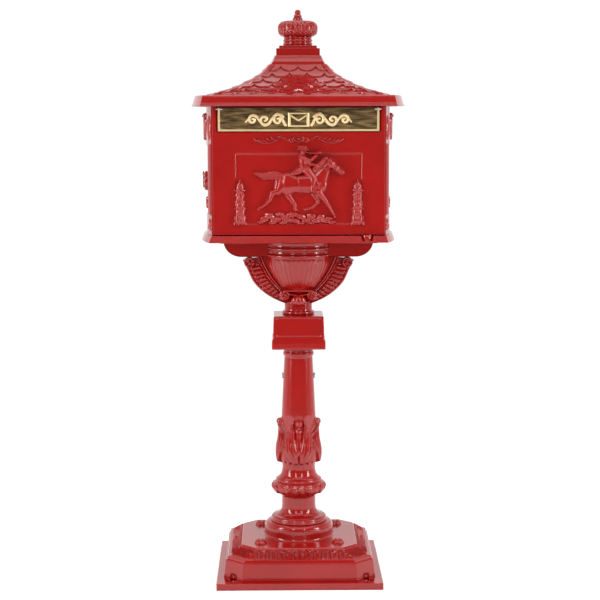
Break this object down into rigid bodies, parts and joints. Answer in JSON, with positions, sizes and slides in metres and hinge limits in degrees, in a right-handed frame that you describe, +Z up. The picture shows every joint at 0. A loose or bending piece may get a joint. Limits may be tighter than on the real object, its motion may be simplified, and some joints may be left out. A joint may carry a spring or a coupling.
{
  "type": "pedestal mailbox",
  "caption": "Free-standing cast pedestal mailbox with a square base, ornamental column, bowed box, side-hinged front door, lifting letter flap, side lock and shingled roof.",
  "frame": {"origin": "middle of the base's underside, on the ground", "axes": "+Z up, the front with the door and the letter flap faces -Y, +X to the right seen from the front"},
  "size_m": [0.3834, 0.296, 1.025],
  "materials": {
    "red_coat": "glossy red powder coat",
    "antique_brass": "antique brass with dark hammered ground",
    "bush_brass": "plain turned brass",
    "zinc_steel": "zinc-plated steel"
  },
  "bodies": {
    "pedestal": {"base_casting": "red_coat", "column": "red_coat", "column_screws": "zinc_steel", "capital_block": "red_coat", "urn_bracket": "red_coat", "tie_rod": "zinc_steel", "tie_rod_washers": "zinc_steel", "tie_rod_nuts": "zinc_steel", "floor_tray": "red_coat", "floor_bolts": "zinc_steel", "left_wall": "red_coat", "right_wall": "red_coat", "back_wall": "red_coat", "floor_screws": "zinc_steel", "back_screws": "zinc_steel", "roof": "red_coat", "roof_screws": "zinc_steel", "roof_cap": "red_coat", "finial": "red_coat", "finial_stud": "zinc_steel", "finial_nut": "zinc_steel", "lower_hinge_pin": "zinc_steel", "upper_pivot_bush": "bush_brass", "lock_housing": "zinc_steel", "lock_nut": "zinc_steel", "cover_rivet": "zinc_steel"},
    "door": {"door_panel": "red_coat", "door_hinge_lower": "red_coat", "door_hinge_upper": "red_coat", "hinge_screws": "zinc_steel", "door_catch": "zinc_steel", "catch_pin": "zinc_steel", "catch_screws": "zinc_steel"},
    "flap": {"letter_flap": "antique_brass", "flap_pins": "zinc_steel"},
    "lock": {"lock_plug": "bush_brass", "lock_cam": "zinc_steel", "cam_screw": "zinc_steel"},
    "cover": {"keyhole_cover": "red_coat"}
  },
  "joints": [
    {"name": "door_hinge", "type": "hinge", "parent": "pedestal", "child": "door", "pos_m": [0.12, -0.104, 0.74], "axis": [0, 0, 1], "range_deg": [0, 100]},
    {"name": "flap_hinge", "type": "hinge", "parent": "door", "child": "flap", "pos_m": [0, -0.1024, 0.8476], "axis": [-1, 0, 0], "range_deg": [0, 38]},
    {"name": "lock_turn", "type": "hinge", "parent": "pedestal", "child": "lock", "pos_m": [-0.15, 0, 0.717], "axis": [1, 0, 0], "range_deg": [0, 90]},
    {"name": "cover_swing", "type": "hinge", "parent": "pedestal", "child": "cover", "pos_m": [-0.171, 0, 0.732], "axis": [1, 0, 0], "range_deg": [-110, 110]}
  ]
}
